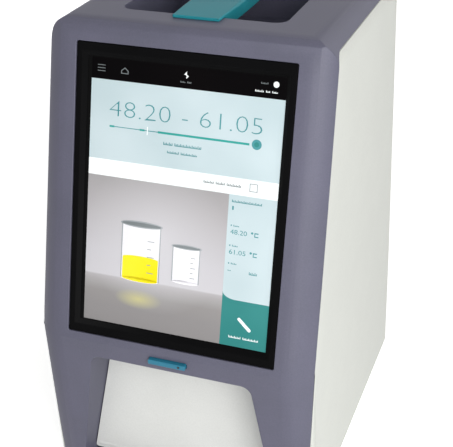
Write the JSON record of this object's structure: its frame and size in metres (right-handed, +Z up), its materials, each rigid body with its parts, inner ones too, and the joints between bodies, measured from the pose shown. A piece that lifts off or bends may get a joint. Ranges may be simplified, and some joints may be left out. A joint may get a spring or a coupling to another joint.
{
  "type": "flash point tester",
  "caption": "Upright bench flash point tester with a leaning touch screen, a drop-down sample door, a cup lift under an oven, and a recessed carrying handle.",
  "frame": {"origin": "bottom centre of the whole instrument, under its rubber feet", "axes": "+Z up, front with the screen faces -Y, +X to the right seen from the front"},
  "size_m": [0.232, 0.2968, 0.4004],
  "materials": {
    "cover_grey": "fine",
    "panel_white": "satin",
    "grip_teal": "satin",
    "button_blue": "gloss",
    "bezel_black": "satin",
    "screen_glass": "gloss",
    "door_white": "satin",
    "sheet_steel": "satin",
    "bright_steel": "polished",
    "cast_aluminium": "satin",
    "sink_aluminium": "satin",
    "rubber_black": "matte",
    "device_black": "matte",
    "board_green": "satin",
    "brass": "satin",
    "ceramic_white": "gloss",
    "ptfe_white": "satin",
    "cable_red": "matte",
    "tube_clear": "satin",
    "sensor_blue": "satin"
  },
  "bodies": {
    "case": {"front_cover": "cover_grey", "carry_handle": "grip_teal", "handle_screws": "bright_steel", "side_panel_left": "panel_white", "side_panel_right": "panel_white", "rear_panel": "panel_white", "rear_screws": "bright_steel", "base_plate": "sheet_steel", "feet": "rubber_black", "foot_screws": "bright_steel", "screen_bezel": "bezel_black", "touch_glass": "screen_glass", "display_panel": "sheet_steel", "display_bracket": "sheet_steel", "display_screws": "bright_steel", "hinge_pin": "bright_steel", "latch_switch": "device_black", "bay_liner": "sheet_steel", "lift_frame": "cast_aluminium", "guide_rods": "bright_steel", "lift_motor": "device_black", "oven_block": "cast_aluminium", "insulator": "ceramic_white", "hv_electrode": "bright_steel", "earth_electrode": "bright_steel", "thermocouple": "bright_steel", "peltier_module": "ceramic_white", "heat_sink": "sink_aluminium", "igniter_module": "device_black", "ignition_lead": "cable_red", "air_pump": "device_black", "air_tube": "tube_clear", "pressure_sensor": "sensor_blue", "chassis": "sheet_steel", "main_board": "board_green", "board_standoffs": "brass", "power_supply": "sheet_steel", "mains_inlet": "device_black", "fuse_drawer": "device_black", "switch_frame": "device_black", "io_ports": "device_black", "fan_frame": "device_black", "fan_guard": "bright_steel", "fan_screws": "bright_steel"},
    "door": {"door": "door_white"},
    "button": {"latch_button": "button_blue", "status_lamp": "device_black"},
    "lift": {"lift_carriage": "cast_aluminium", "stir_motor": "device_black", "cup_gasket": "rubber_black"},
    "screw": {"lead_screw": "bright_steel"},
    "cup": {"sample_cup": "bright_steel"},
    "stirrer": {"stir_magnet": "brass"},
    "stir_rod": {"stir_bar": "ptfe_white"},
    "fan": {"fan_rotor": "device_black"},
    "rocker": {"power_rocker": "device_black"}
  },
  "joints": [
    {"name": "door_hinge", "type": "hinge", "parent": "case", "child": "door", "pos_m": [0, -0.11235, 0.02355], "axis": [1, 0, 0], "range_deg": [0, 80]},
    {"name": "button_push", "type": "slide", "parent": "case", "child": "button", "axis": [0, 0.9977, 0.068], "range_m": [0, 0.002], "stiffness_N_per_m": 600, "springref_m": -0.001},
    {"name": "lift_slide", "type": "slide", "parent": "case", "child": "lift", "axis": [0, 0, 1], "range_m": [0, 0.0385]},
    {"name": "screw_spin", "type": "hinge", "parent": "case", "child": "screw", "pos_m": [0, -0.008, 0.1], "axis": [0, 0, 1], "range_deg": [0, 3466]},
    {"name": "cup_out", "type": "slide", "parent": "lift", "child": "cup", "axis": [0, 0, 1], "range_m": [0, 0.007]},
    {"name": "magnet_spin", "type": "hinge", "parent": "lift", "child": "stirrer", "pos_m": [0, -0.058, 0.062], "axis": [0, 0, 1], "continuous": true},
    {"name": "stir_spin", "type": "hinge", "parent": "cup", "child": "stir_rod", "pos_m": [0, -0.058, 0.0727], "axis": [0, 0, 1], "continuous": true},
    {"name": "fan_spin", "type": "hinge", "parent": "case", "child": "fan", "pos_m": [0, 0.10782, 0.27127], "axis": [0, 0.9955, 0.095], "continuous": true},
    {"name": "switch_rock", "type": "hinge", "parent": "case", "child": "rocker", "pos_m": [-0.062, 0.14004, 0.09152], "axis": [1, 0, 0], "range_deg": [-12, 0]}
  ],
  "couplings": [
    {"joint": "screw_spin", "follows": "lift_slide", "rad_per_m": 1570.8},
    {"joint": "stir_spin", "follows": "magnet_spin", "ratio": 1}
  ]
}
